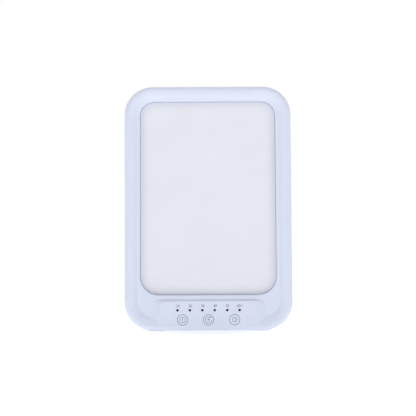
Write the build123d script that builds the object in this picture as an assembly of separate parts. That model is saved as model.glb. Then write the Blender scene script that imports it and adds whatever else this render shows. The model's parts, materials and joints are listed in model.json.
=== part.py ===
from build123d import *
import os
from math import cos, pi, radians, sin

# Light therapy lamp: a leaning light panel with a touch-key chin and a fold-out rear stand.
# Every part is drawn upright (X to the right, Y from front to back, Z up, millimetres) and
# the finished assembly is then leaned back onto its stand.

# Case
body_width = 165.0
body_height = 241.0
body_depth = 24.0
corner_radius = 28.0
wall = 2.2
parting_depth = 11.0
front_roll_side = 4.8
front_roll_bottom = 4.0
front_roll_depth = 4.2
rear_fillet = 4.5
seam_gap = 0.4
seam_groove = 0.8
tongue_thickness = 1.1
tongue_height = 1.6
fit = 0.1
loose_fit = 0.2
running_gap = 0.3

# Window and dished frame
window_side_margin = 15.5
window_top_margin = 14.7
chin_height = 34.6
window_top_radius = 14.5
window_bottom_radius = 18.5
dish_depth = 2.2
dish_start = 0.4
lip_land = 2.7
lip_fillet = 1.5
lip_depth = 3.5
dish_floor_bottom = 13.0
loft_steps = 4

# Raised key panel in the chin
panel_side_margin = 36.0
panel_foot_side_margin = 31.5
panel_ledge = 6.3
panel_riser = 2.0
panel_edge = 0.7
panel_side_slope = 8.0
panel_corner = 5.0

# Front mouldings seen from inside
groove_depth = 2.2
groove_outer_inset = 3.4
groove_inner_inset = 9.0
chin_roof_depth = 3.7
key_roof_depth = 2.0
locating_rib = 1.2
key_room_margin = 3.0
key_room_corner = 4.0
boss_start_depth = 2.0

# Light pack, front to back
gasket_thickness = 0.4
gasket_reveal = 0.2
diffuser_thickness = 2.0
diffuser_overlap = 3.2
guide_thickness = 3.0
guide_overlap = 1.2
reflector_thickness = 0.4
sheet_metal = 1.0
chip_gap = 0.2
chip_size = (1.0, 2.0, 3.0)
strip_thickness = 0.8
strip_setback = 19.0
chip_count = 22
bead_size = (110.0, 7.0)
bead_height = 0.8
bead_setback = 30.0
ear_radius = 3.0
lead_hole_radius = 1.0
lead_hole_rise = 12.0

# Keys and indicators
key_side_margin = 21.1
key_height = 10.3
key_pad_radius = 4.2
key_pad_bore = 2.0
indicator_count = 6
indicator_pitch = 12.15
indicator_height = 19.6
indicator_radius = 1.1
lens_bar = (66.4, 4.0)
lens_bar_thickness = 1.4
lens_pin_tail = 2.2

# Control board
board_side_margin = 41.5
board_bottom = 5.8
board_window_gap = 5.6
board_front = 7.4
board_thickness = 1.6
board_post_radius = 2.2
board_screw_inset = 4.0
socket_size = (5.2, 3.4, 7.8)
socket_wall = 0.8
socket_floor = 1.2
chip_body = (9.9, 1.6, 3.9)
chip_lead_pitch = 1.27
coil_width = 10.0
coil_cap = 0.6
coil_clearance = 0.8
capacitor_size = (3.3, 5.4, 7.2)

# Screws
case_screw_radius = 1.25
small_screw_radius = 0.95
screw_clearance = 0.05
case_boss_radius = 2.9
case_head_radius = 2.6
case_head_height = 2.0
small_head_radius = 1.9
small_head_height = 1.4
well_radius = 2.9
well_depth = 7.5
screw_tip_depth = 5.0
screw_tip_room = 0.3
case_screw_inset = 13.5
case_screw_foot_inset = (16.5, 12.5)
tray_screw_inset = 6.9
tray_screw_setback = 33.0
cover_boss_radius = 3.9

# Stand and hinge
lean_angle = 20.0
splay_angle = 8.0
open_angle = lean_angle + splay_angle
hinge_drop = 69.0
hinge_inset = 4.2
barrel_radius = 2.7
pin_radius = 1.4
pin_clearance = 0.05
heel_radius = 6.6
leg_half_width = 22.0
leg_end_half_width = 18.0
leg_thickness = 6.0
leg_flush = 0.2
leg_skin = 2.0
leg_rib = 1.6
taper_drop = 14.0
leg_gap = 0.6
pocket_depth = 7.2
pocket_wall = 1.8
notch_half_width = 12.0
hinge_boss = 3.4
hinge_boss_height = 5.0
pin_overhang = 1.4
washer_thickness = 0.5
clip_radius = 2.3
clip_thickness = 0.7
clip_room = 4.0
pad_height = 3.0

# Feet
foot_length = 16.0
foot_width = 4.4
foot_drop = 0.5
foot_inlay = 1.2
foot_side_margin = 30.5

# Power inlet
jack_side_margin = 30.5
jack_z = 18.0
jack_flange_radius = 5.6
jack_flange = 1.6
jack_thread_radius = 4.0
jack_bore_radius = 3.1
jack_bore_depth = 9.6
jack_length = 12.0
jack_pin_radius = 1.05
jack_pin_inset = 1.4
jack_tail_radius = 0.8
jack_nut_height = 2.4
jack_nut_radius = 6.2
jack_seat_rim = 2.0
jack_seat_inset = 4.4

# Sockets and wires
lamp_socket_margin = 13.5
power_socket_step = 17.5
lead_bend = 1.2
jack_lead_step = 6.5
strip_lead_step = 8.0
exit_lead_step = 7.0
jack_lead_radius = 0.6
strip_lead_radius = 0.5
jack_lead_spread = 1.3
strip_lead_spread = 1.4
lead_tip_rise = 1.7

# Cooling slots
vent_size = (64.0, 1.8)
side_vent_size = (28.0, 1.8)
vent_pitch = 4.6

# Places that follow from the sizes above
window_half_width = body_width / 2 - window_side_margin
window_top = body_height - window_top_margin
panel_top = chin_height - panel_ledge
panel_half_width = body_width / 2 - panel_side_margin
panel_foot_half_width = body_width / 2 - panel_foot_side_margin
seat_depth = dish_depth + lip_depth - gasket_thickness
strip_bottom = chin_height + strip_setback
strip_top = window_top - strip_setback
key_pitch = panel_half_width - key_side_margin
board_half_width = body_width / 2 - board_side_margin
board_top = chin_height - board_window_gap
parts_row = (board_bottom + board_top) / 2
lamp_socket_x = lamp_socket_margin - board_half_width
well_floor = body_depth - well_depth
hinge_height = body_height - hinge_drop
hinge_depth = body_depth - hinge_inset
taper_start = hinge_height - taper_drop
leg_back = body_depth - leg_flush
leg_front = leg_back - leg_thickness
pocket_floor = body_depth - pocket_depth
foot_x = body_width / 2 - foot_side_margin
jack_x = body_width / 2 - jack_side_margin
power_socket_x = jack_x - power_socket_step
jack_end = body_depth - jack_length
jack_seat = body_depth - jack_seat_inset
jack_floor = body_depth - jack_bore_depth
screw_hole_depth = screw_tip_depth - screw_tip_room
gasket_back = seat_depth + gasket_thickness
diffuser_back = gasket_back + diffuser_thickness
guide_back = diffuser_back + guide_thickness
reflector_back = guide_back + reflector_thickness
tray_back = reflector_back + sheet_metal
board_back = board_front + board_thickness
guide_half_width = window_half_width + guide_overlap
lead_exit = (guide_half_width + 0.4, chin_height + lead_hole_rise)
hinge_wall = leg_half_width + leg_gap
hinge_boss_end = hinge_wall + hinge_boss
hinge_end = hinge_boss_end + pin_overhang
lean = radians(lean_angle)
rear_edge_depth = body_depth - rear_fillet * (1 - sin(lean))
rear_edge_height = rear_fillet * (1 - cos(lean))
lowest = rear_edge_height * cos(lean) - rear_edge_depth * sin(lean)
ground = lowest - foot_drop
hinge_above_ground = hinge_height * cos(lean) - hinge_depth * sin(lean) - ground
leg_reach = hinge_above_ground / cos(radians(splay_angle))
leg_end = hinge_height - leg_reach + pad_height
head_screw = (body_width / 2 - case_screw_inset, body_height - case_screw_inset)
foot_screw = (body_width / 2 - case_screw_foot_inset[0], case_screw_foot_inset[1])
case_screw_places = [(side * x, z) for x, z in (head_screw, foot_screw) for side in (1, -1)]
tray_screw_x = body_width / 2 - tray_screw_inset
tray_screw_rows = (chin_height + tray_screw_setback, window_top - tray_screw_setback)
tray_screw_places = [(side * tray_screw_x, z) for z in tray_screw_rows for side in (1, -1)]
board_screw_x = board_half_width - board_screw_inset
board_screw_rows = (board_bottom + board_screw_inset, board_top - board_screw_inset)
board_screw_places = [(side * board_screw_x, z) for z in board_screw_rows for side in (1, -1)]


def upright(depth, shape):
    """Stand a flat shape up, facing the front, at a depth behind the crest."""
    return Plane(origin=(0, depth, 0), x_dir=(1, 0, 0), z_dir=(0, -1, 0)) * shape


def slab(shape, front, back):
    """Thicken a standing shape from one depth to another."""
    return extrude(upright(front, shape), amount=back - front, dir=(0, 1, 0))


def rod(place, radius, front, back):
    """A round bar that runs from front to back."""
    return slab(Pos(*place) * Circle(radius), front, back)


def block(x, y, z):
    """A box given by its limits along each axis."""
    size = (x[1] - x[0], y[1] - y[0], z[1] - z[0])
    return Pos((x[0] + x[1]) / 2, (y[0] + y[1]) / 2, (z[0] + z[1]) / 2) * Box(*size)


def axle(radius, left, right):
    """A round bar on the hinge axis, from left to right."""
    disc = Pos(hinge_depth, hinge_height) * Circle(radius)
    return extrude(Plane.YZ.offset(left) * disc, amount=right - left)


def outline(half_width, bottom, top, bottom_radius, top_radius):
    """A rectangle with its own corner radius at the foot and at the head."""
    shape = Pos(0, (bottom + top) / 2) * Rectangle(2 * half_width, top - bottom)
    shape = fillet(shape.vertices().group_by(Axis.Y)[0], bottom_radius)
    return fillet(shape.vertices().group_by(Axis.Y)[-1], top_radius)


def body_outline(inset):
    """The case outline, drawn in by a wall or a gap."""
    radius = corner_radius - inset
    return outline(body_width / 2 - inset, inset, body_height - inset, radius, radius)


def window_outline(growth):
    """The window outline, grown outward by an overlap."""
    radii = (window_bottom_radius + growth, window_top_radius + growth)
    return outline(window_half_width + growth, chin_height - growth, window_top + growth, *radii)


def guide_outline(growth):
    """The light guide outline, grown outward."""
    return window_outline(guide_overlap + growth)


def rolled_front():
    """The outer shell of the frame with its front edge rolled over to the crest."""
    sections = []
    for step in range(loft_steps + 1):
        turn = step / loft_steps * pi / 2
        side = front_roll_side * (1 - cos(turn))
        foot = front_roll_bottom * (1 - cos(turn))
        depth = front_roll_depth * (1 - sin(turn))
        radii = (corner_radius - (side + foot) / 2, corner_radius - side)
        section = outline(body_width / 2 - side, foot, body_height - side, *radii)
        sections.append(upright(depth, section))
    return loft(sections) + slab(body_outline(0), front_roll_depth, parting_depth)


def dish():
    """The smooth hollow that falls from the crest to the window lip."""
    outer = front_roll_side + dish_start
    inner = window_side_margin - lip_land
    outer_foot = front_roll_bottom + dish_start
    sections = []
    for step in range(loft_steps + 1):
        part = step / loft_steps
        inset = outer + (inner - outer) * part
        foot = outer_foot + (dish_floor_bottom - outer_foot) * part
        depth = dish_depth * (0.15 * part + 0.85 * part ** 2)
        foot_radius = corner_radius - (inset + foot) / 2
        head_radius = corner_radius - outer - (corner_radius - outer - window_top_radius - lip_land) * part
        section = outline(body_width / 2 - inset, foot, body_height - inset, foot_radius, head_radius)
        sections.append(upright(depth, section))
    return loft(sections)


def key_panel():
    """The raised key panel: a crisp riser along its top and soft slopes down its sides."""
    sections = []
    for part in (-0.2, 1.2):
        spread = panel_side_slope * part
        top = panel_top + panel_riser * part
        corners = [(panel_half_width + spread, top), (-panel_half_width - spread, top)]
        corners += [(-panel_foot_half_width - spread, -rear_fillet)]
        corners += [(panel_foot_half_width + spread, -rear_fillet)]
        shape = make_face(Polyline(*corners, close=True))
        shape = fillet(shape.vertices().group_by(Axis.Y)[-1], panel_corner + part)
        sections.append(upright(dish_depth * part, shape))
    return loft(sections, ruled=True)


def edges_on(shape, wire):
    """The edges of a solid that lie on a drawn line."""
    near = 0.01
    return [e for e in shape.edges() if wire.distance_to(e @ 0.5) < near and wire.distance_to(e @ 0) < near]


def ledge_edges(frame):
    """The upper crest edge of the key panel, with its rounded ends."""
    picked = []
    for edge in frame.edges():
        box = edge.bounding_box()
        flat = box.min.Y > -0.01 and box.max.Y < 0.01
        if flat and box.min.Z > panel_top - panel_corner - 1 and box.max.Z < chin_height:
            picked.append(edge)
    return picked


def front_bezel():
    """The dished front frame with its window, key panel, ribs, posts and screw bosses."""
    frame = rolled_front() - (dish() - key_panel())
    frame = fillet(ledge_edges(frame), panel_edge)
    frame -= slab(window_outline(0), 0, parting_depth)
    frame = fillet(edges_on(frame, upright(dish_depth, window_outline(0)).wire()), lip_fillet)
    frame -= slab(body_outline(wall), seat_depth, parting_depth)
    groove = body_outline(groove_outer_inset) - body_outline(groove_inner_inset)
    frame -= slab(groove, groove_depth, seat_depth)
    chin = body_outline(groove_outer_inset) & (Pos(0, board_top / 2) * Rectangle(body_width, board_top))
    frame -= slab(chin, chin_roof_depth, seat_depth)
    corners = (key_room_corner, key_room_corner)
    half = panel_half_width - key_room_margin
    key_room = outline(half, board_bottom, panel_top - panel_riser, *corners)
    frame -= slab(key_room, key_roof_depth, seat_depth)
    inner = diffuser_overlap + running_gap
    rib = window_outline(inner + locating_rib) - window_outline(inner)
    frame += slab(rib, seat_depth, diffuser_back - running_gap)
    for place in case_screw_places:
        frame += rod(place, case_boss_radius, boss_start_depth, parting_depth)
        frame -= rod(place, case_screw_radius + screw_clearance, screw_hole_depth, parting_depth)
    for places, end in ((tray_screw_places, reflector_back), (board_screw_places, board_front)):
        for place in places:
            frame += rod(place, board_post_radius, boss_start_depth, end)
            frame -= rod(place, small_screw_radius + screw_clearance, screw_hole_depth, end)
    for x in indicator_places():
        frame -= rod((x, indicator_height), indicator_radius, 0, seat_depth)
    return frame


def indicator_places():
    """Positions of the six indicators, centred on the chin."""
    first = -indicator_pitch * (indicator_count - 1) / 2
    return [first + indicator_pitch * number for number in range(indicator_count)]


def diffuser_gasket():
    """Thin foam ring between the frame and the diffuser, its inner edge just in sight."""
    ring = window_outline(diffuser_overlap - running_gap) - window_outline(-gasket_reveal)
    return slab(ring, seat_depth, gasket_back)


def diffuser():
    """Opal front panel with softened front edges."""
    panel = slab(window_outline(diffuser_overlap), gasket_back, diffuser_back)
    return chamfer(panel.faces().sort_by(Axis.Y)[0].edges(), 0.3)


def light_guide():
    """Clear plate that spreads the light of the side strips."""
    return slab(guide_outline(0), diffuser_back, guide_back)


def reflector_sheet():
    """White sheet behind the light guide."""
    return slab(guide_outline(0), guide_back, reflector_back)


def chip_centre():
    """Distance of the chip centres from the middle of the lamp."""
    return guide_half_width + chip_gap + chip_size[0] / 2


def led_strip(side):
    """Narrow circuit strip on one long side of the light guide."""
    inner = guide_half_width + chip_gap + chip_size[0]
    limits = sorted((side * inner, side * (inner + strip_thickness)))
    return block(limits, (diffuser_back + 0.1, reflector_back), (strip_bottom, strip_top))


def led_chips(side):
    """Row of light emitting chips that face the edge of the guide."""
    pitch = (strip_top - strip_bottom) / chip_count
    middle = (diffuser_back + guide_back) / 2
    chip = Box(*chip_size)
    chips = []
    for number in range(chip_count):
        height = strip_bottom + pitch * (number + 0.5)
        chips.append(Pos(side * chip_centre(), middle, height) * chip)
    return Compound(chips)


def light_tray():
    """Pressed metal tray that holds the light pack, with four screw ears and two beads."""
    room = chip_gap + chip_size[0] + strip_thickness
    tray = slab(guide_outline(room + sheet_metal), diffuser_back, tray_back)
    for x, z in tray_screw_places:
        ear = Pos(x, z) * Circle(ear_radius)
        inner = guide_half_width * (1 if x > 0 else -1)
        bridge = Pos((x + inner) / 2, z) * Rectangle(abs(x - inner), 2 * ear_radius)
        tray += slab(ear + bridge, reflector_back, tray_back)
    for z in (strip_bottom + bead_setback, strip_top - bead_setback):
        tray += slab(Pos(0, z) * SlotOverall(*bead_size), tray_back, tray_back + bead_height)
    tray -= slab(guide_outline(room), diffuser_back, reflector_back)
    for place in tray_screw_places:
        tray -= rod(place, small_screw_radius + loose_fit, reflector_back, tray_back)
    for side in (1, -1):
        tray -= rod((side * lead_exit[0], lead_exit[1]), lead_hole_radius, reflector_back, tray_back)
    return tray


def machine_screw(place, seat, tip, radius, head_radius, head_height):
    """Pan-head screw driven in from the back, with a cross recess."""
    screw = rod(place, radius, tip, seat)
    head = rod(place, head_radius, seat, seat + head_height)
    head = chamfer(head.faces().sort_by(Axis.Y)[-1].edges(), head_height * 0.4, head_height * 0.45)
    slot = Pos(*place) * (Rectangle(head_radius, 0.5) + Rectangle(0.5, head_radius))
    return screw + head - slab(slot, seat + head_height * 0.5, seat + head_height)


def screw_group(places, seat, tip, radius, head_radius, head_height):
    """One set of equal screws."""
    sizes = (seat, tip, radius, head_radius, head_height)
    return Compound([machine_screw(place, *sizes) for place in places])


def control_board():
    """Circuit board behind the keys."""
    board = slab(outline(board_half_width, board_bottom, board_top, 2, 2), board_front, board_back)
    for place in board_screw_places:
        board -= rod(place, small_screw_radius + loose_fit, board_front, board_back)
    return board


def touch_pad(number):
    """Springy conductive pillar between the board and the back of one key."""
    place = ((number - 1) * key_pitch, key_height)
    pillar = rod(place, key_pad_radius, key_roof_depth, board_front)
    return pillar - rod(place, key_pad_bore, key_roof_depth, board_front)


def indicator_lens():
    """Tinted light pipe strip with one pin for each indicator hole."""
    bar_back = key_roof_depth + lens_bar_thickness
    lens = slab(Pos(0, indicator_height) * SlotOverall(*lens_bar), key_roof_depth, bar_back)
    for x in indicator_places():
        lens += rod((x, indicator_height), indicator_radius - 0.04, 0.05, bar_back + lens_pin_tail)
    return lens


def indicator_leds():
    """Small lamps on the board, one behind each light pipe pin."""
    chip = Box(2.0, 0.9, 1.25)
    middle = board_front - 0.45
    return Compound([Pos(x, middle, indicator_height) * chip for x in indicator_places()])


def control_chip():
    """Flat controller package with two rows of leads."""
    width, height, depth = chip_body
    x = -panel_half_width * 0.28
    chip = Pos(x, board_back + height / 2 + 0.2, parts_row) * Box(width, height, depth)
    chip = chamfer(chip.faces().sort_by(Axis.Y)[-1].edges(), 0.25)
    row = (parts_row - depth / 2 - 1.0, parts_row + depth / 2 + 1.0)
    for number in range(8):
        lead_x = x + (number - 3.5) * chip_lead_pitch
        chip += block((lead_x - 0.2, lead_x + 0.2), (board_back, board_back + 0.5), row)
    return chip


def driver_inductor():
    """Shielded coil of the lamp driver with its ferrite cap."""
    x = panel_half_width * 0.26
    top = pocket_floor - pocket_wall - coil_clearance
    shape = Pos(x, parts_row) * Rectangle(coil_width, coil_width)
    coil = slab(chamfer(shape.vertices(), coil_width / 5), board_back, top - coil_cap)
    return coil + rod((x, parts_row), coil_width * 0.36, top - coil_cap, top)


def driver_capacitor():
    """Round storage capacitor with its square base."""
    radius, height, base_width = capacitor_size
    x = panel_half_width * 0.52
    base = Pos(x, board_back + 0.45, parts_row) * Box(base_width, 0.9, base_width)
    can = rod((x, parts_row), radius, board_back + 0.9, board_back + height)
    return base + chamfer(can.faces().sort_by(Axis.Y)[-1].edges(), 0.4)


def board_connectors():
    """Two equal lead sockets, open on top: lamp leads on the left, power on the right."""
    width, height, depth = socket_size
    sockets = []
    for x in (lamp_socket_x, power_socket_x):
        shell = Pos(x, board_back + height / 2, parts_row) * Box(width, height, depth)
        room = Box(width - 2 * socket_wall, height, depth - 2 * socket_wall)
        sockets.append(shell - Pos(x, board_back + height / 2 + socket_floor, parts_row) * room)
    return Compound(sockets)


def pocket_outline(growth):
    """The stand pocket outline, wider at the hinge and tapering to the thumb notch."""
    top = hinge_height + heel_radius + leg_gap + growth
    half = leg_half_width + leg_gap + growth
    end_half = leg_end_half_width + leg_gap + growth
    end = leg_end - pad_height - leg_gap - growth
    corners = [(half, top), (-half, top), (-half, taper_start), (-end_half, end)]
    corners += [(end_half, end), (half, taper_start)]
    shape = make_face(Polyline(*corners, close=True))
    shape = fillet(shape.vertices().group_by(Axis.Y)[0], 3.0 + growth)
    return fillet(shape.vertices().group_by(Axis.Y)[-1], 1.0 + growth)


def thumb_notch(growth):
    """Notch through the lower edge that lets a thumb reach the end of the stand."""
    width = 2 * (notch_half_width + growth)
    return Pos(0, leg_end / 2) * Rectangle(width, leg_end + 4 * pad_height)


def foot_plane(side):
    """Plane of the table side of a foot, on the lowest line of the case."""
    direction = (0, sin(lean), -cos(lean))
    place = (side * foot_x, rear_edge_depth, rear_edge_height)
    return Plane(origin=place, x_dir=(1, 0, 0), z_dir=direction)


def rubber_foot(side):
    """Rubber pad let into the lower rear edge of the case."""
    shape = foot_plane(side).offset(-foot_inlay) * SlotOverall(foot_length, foot_width)
    return extrude(shape, amount=foot_inlay + foot_drop)


def foot_recess(side):
    """Recess for one rubber foot."""
    size = (foot_length + 2 * fit, foot_width + 2 * fit)
    return extrude(foot_plane(side).offset(-foot_inlay) * SlotOverall(*size), amount=foot_inlay + 2.0)


def vent_slots():
    """Rows of cooling slots above the stand and low on both sides of it."""
    slots = []
    for row in range(5):
        slots.append(Pos(0, hinge_height + 24 + row * vent_pitch) * SlotOverall(*vent_size))
    for row in range(4):
        for side in (1, -1):
            place = (side * (jack_x - 4), chin_height + 9 + row * vent_pitch)
            slots.append(Pos(*place) * SlotOverall(*side_vent_size))
    return [slab(slot, body_depth - wall - 1.0, body_depth + 1.0) for slot in slots]


def cover_shell():
    """Rear half of the case: walls, rounded back edge, seam shoulder and tongue."""
    shell = slab(body_outline(0), parting_depth + seam_gap, body_depth)
    shell = fillet(shell.faces().sort_by(Axis.Y)[-1].edges(), rear_fillet)
    room = slab(body_outline(wall), parting_depth, body_depth - wall)
    room = chamfer(room.faces().sort_by(Axis.Y)[-1].edges(), rear_fillet - wall)
    shell -= room
    shoulder = body_outline(seam_groove) - body_outline(wall + fit + tongue_thickness)
    shell += slab(shoulder, parting_depth, parting_depth + seam_gap + 0.8)
    tongue = body_outline(wall + fit) - body_outline(wall + fit + tongue_thickness)
    return shell + slab(tongue, parting_depth - tongue_height, parting_depth + 1.0)


def back_cover():
    """Rear case half with the stand pocket, hinge bosses, vents, screw wells and inlet seat."""
    cover = cover_shell()
    inner = body_depth - wall
    pocket_room = pocket_outline(pocket_wall) + (thumb_notch(pocket_wall) & body_outline(0.4))
    cover += slab(pocket_room, pocket_floor - pocket_wall, inner)
    for side in (1, -1):
        limits = sorted((side * hinge_wall, side * hinge_boss_end))
        heights = (hinge_height - hinge_boss_height, hinge_height + hinge_boss_height)
        cover += block(limits, (pocket_floor - pocket_wall, inner), heights)
    for place in case_screw_places:
        cover += rod(place, cover_boss_radius, parting_depth, inner)
    cover += rod((jack_x, jack_z), jack_flange_radius + jack_seat_rim, jack_seat, inner)
    cover -= slab(pocket_outline(0) + thumb_notch(0), pocket_floor, body_depth)
    cover -= axle(pin_radius + pin_clearance, -hinge_end - 1, hinge_end + 1)
    for side in (1, -1):
        limits = sorted((side * hinge_boss_end, side * (hinge_end + clip_room)))
        cover -= axle(clip_radius + running_gap, *limits)
    for place in case_screw_places:
        cover -= rod(place, well_radius, well_floor, body_depth)
        cover -= rod(place, case_screw_radius + running_gap, parting_depth, well_floor)
    cover -= rod((jack_x, jack_z), jack_flange_radius + fit, body_depth - jack_flange, body_depth)
    cover -= rod((jack_x, jack_z), jack_thread_radius + screw_clearance, jack_seat, body_depth)
    for side in (1, -1):
        cover -= foot_recess(side)
    for slot in vent_slots():
        cover -= slot
    return cover


def leg_outline(inset, end):
    """The stand leg outline, tapering from the hinge to its foot."""
    half = leg_half_width - inset
    end_half = leg_end_half_width - inset
    top = hinge_height + heel_radius
    corners = [(half, top), (-half, top), (-half, taper_start), (-end_half, end)]
    corners += [(end_half, end), (half, taper_start)]
    shape = make_face(Polyline(*corners, close=True))
    return fillet(shape.vertices().group_by(Axis.Y)[0], 2.0)


def opened(shape):
    """Swing a stand part from its pocket to its open position."""
    axis = Axis((0, hinge_depth, hinge_height), (1, 0, 0))
    return shape.rotate(axis, open_angle)


def folded_leg():
    """The stand leg in its pocket: ribbed channel, hinge barrel and rounded heel."""
    leg = slab(leg_outline(0, leg_end), leg_front, leg_back)
    channel = leg_outline(leg_rib, leg_end + leg_rib)
    solid_top = hinge_height - barrel_radius - 5.0
    room = Pos(0, solid_top - body_height / 2) * Rectangle(body_width, body_height)
    leg -= slab(channel & room, leg_front, leg_back - leg_skin)
    span = solid_top - leg_end
    for number in range(1, 6):
        height = leg_end + span * number / 6
        rib = leg_outline(leg_rib / 2, leg_end) & (Pos(0, height) * Rectangle(body_width, leg_rib))
        leg += slab(rib, leg_front + 0.6, leg_back - leg_skin)
    spine = Pos(0, (solid_top + leg_end) / 2) * Rectangle(leg_rib, span - leg_rib)
    leg += slab(spine, leg_front + 0.6, leg_back - leg_skin)
    above = block((-body_width, body_width), (0, 2 * body_depth), (hinge_height, body_height))
    leg = (leg - above) + (leg & above & axle(heel_radius, -leg_half_width, leg_half_width))
    leg += axle(barrel_radius, -leg_half_width, leg_half_width)
    for edges in leg_end_edges(leg):
        leg = fillet(edges, 0.8)
    return leg - axle(pin_radius + pin_clearance, -leg_half_width, leg_half_width)


def leg_end_edges(leg):
    """Long outer edges on the back of the leg."""
    back = leg.faces().filter_by(Axis.Y).sort_by(Axis.Y)[-1]
    sides = [edge for edge in back.edges() if edge.center().Z < taper_start and abs(edge.center().X) > 15]
    return [sides] if sides else []


def tenon(growth, front_growth):
    """Tongue of the foot pad that enters the end wall of the leg."""
    limits_y = (leg_front + 1.4 - growth, leg_back - leg_skin - 0.6 + growth)
    return block((-9 - growth, 9 + growth), limits_y, (leg_end - 1.0, leg_end + 3.4 + front_growth))


def underground():
    """Everything below the table top, in the upright drawing position."""
    earth = Box(2 * body_width, 2 * body_height, body_height)
    return Rot(lean_angle, 0, 0) * Pos(0, 0, ground - body_height / 2) * earth


def stand_leg():
    """The stand leg, open, with its heel relieved where it stops against the pocket floor."""
    leg = opened(folded_leg() - tenon(screw_clearance, 0.1))
    limits = (hinge_height - 3 * heel_radius, hinge_height + 3 * heel_radius)
    return leg - block((-body_width, body_width), (0, pocket_floor), limits)


def stand_foot_pad():
    """Rubber pad under the end of the stand, cut level with the table."""
    half = leg_end_half_width - 2.5
    pad = block((-half, half), (leg_front + 0.5, leg_back - 0.5), (leg_end - 2 * pad_height, leg_end))
    pad = fillet(pad.edges().filter_by(Axis.Y), 1.0)
    return opened(pad + tenon(0, 0)) - underground()


def hinge_pin():
    """Steel pin through the leg barrel and both pocket walls, with chamfered ends."""
    pin = axle(pin_radius, -hinge_end, hinge_end)
    return chamfer(pin.edges(), 0.3)


def hinge_clip(side):
    """Open spring ring that holds one end of the pin."""
    start = hinge_boss_end + fit
    limits = sorted((side * start, side * (start + clip_thickness)))
    ring = axle(clip_radius, *limits) - axle(pin_radius + 0.02, *limits)
    mouth = block(limits, (hinge_depth - 3, hinge_depth), (hinge_height - 0.9, hinge_height + 0.9))
    return ring - mouth


def hinge_washer(side):
    """Friction washer between the leg and one pocket wall."""
    start = leg_half_width + (leg_gap - washer_thickness) / 2
    limits = sorted((side * start, side * (start + washer_thickness)))
    return axle(barrel_radius - 0.1, *limits) - axle(pin_radius + pin_clearance, *limits)


def dc_jack():
    """Threaded power inlet with a flush flange, an open plug bore and a closed rear end."""
    place = (jack_x, jack_z)
    jack = rod(place, jack_thread_radius, jack_end, body_depth - jack_flange)
    jack += rod(place, jack_flange_radius, body_depth - jack_flange, body_depth)
    jack -= rod(place, jack_bore_radius, jack_floor, body_depth)
    mouth = [e for e in jack.edges() if e.center().Y > body_depth - 0.01]
    jack = chamfer(mouth, 0.35)
    return jack - rod(place, jack_tail_radius + 0.02, jack_end, jack_floor)


def dc_jack_pin():
    """Centre contact of the inlet, with its solder tail behind the body."""
    place = (jack_x, jack_z)
    pin = rod(place, jack_pin_radius, jack_floor, body_depth - jack_pin_inset)
    pin = chamfer(pin.faces().sort_by(Axis.Y)[-1].edges(), 0.4)
    return pin + rod(place, jack_tail_radius, jack_end - 1.2, jack_floor)


def dc_jack_nut():
    """Hexagon nut that pulls the inlet against its seat."""
    place = (jack_x, jack_z)
    nut = slab(Pos(*place) * RegularPolygon(jack_nut_radius, 6), jack_seat - jack_nut_height, jack_seat)
    return nut - rod(place, jack_thread_radius + screw_clearance, jack_seat - jack_nut_height, jack_seat)


def lead(points, radius):
    """Insulated wire that follows straight runs with cut corners."""
    route = [Vector(*points[0])]
    for before, corner, after in zip(points, points[1:], points[2:]):
        middle = Vector(*corner)
        for end in (before, after):
            route.append(middle + (Vector(*end) - middle).normalized() * lead_bend)
    route.append(Vector(*points[-1]))
    path = Polyline(*route)
    start = Plane(origin=path @ 0, z_dir=path % 0)
    return sweep(start * Circle(radius), path=path, transition=Transition.RIGHT)


def jack_leads():
    """Pair of wires from the inlet to its socket on the board."""
    x = power_socket_x
    front = board_front + 0.6
    over = board_back + socket_size[1] + 3.0
    leads = []
    for offset in (-jack_lead_spread, jack_lead_spread):
        height = jack_z + offset
        path = [(jack_x - 1.5, jack_end, height), (jack_x - 1.5, front, height)]
        path += [(jack_x - jack_lead_step, front, height), (jack_x - jack_lead_step, over, height)]
        path += [(x, over, height), (x, board_back + lead_tip_rise, height)]
        leads.append(lead(path, jack_lead_radius))
    return Compound(leads)


def strip_leads():
    """Two wires that feed the light strips through the back of the tray."""
    x = lamp_socket_x
    over = board_back + socket_size[1] + 0.8
    exit_x, exit_z = lead_exit
    leads = []
    across = chin_height - 2.0
    low_row = parts_row - strip_lead_spread
    for side, first_turn in ((1, (x, across)), (-1, (x - strip_lead_step, low_row))):
        height = parts_row + strip_lead_spread * side
        path = [(x, board_back + lead_tip_rise, height), (x, over, height)]
        path += [(first_turn[0], over, first_turn[1])]
        path += [(side * (exit_x - exit_lead_step), over, across)]
        path += [(side * exit_x, over, exit_z - 3.0), (side * exit_x, over, exit_z)]
        path += [(side * exit_x, reflector_back - 1.2, exit_z)]
        leads.append(lead(path, strip_lead_radius))
    return Compound(leads)


case_screw_sizes = (case_screw_radius, case_head_radius, case_head_height)
small_screw_sizes = (small_screw_radius, small_head_radius, small_head_height)

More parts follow.
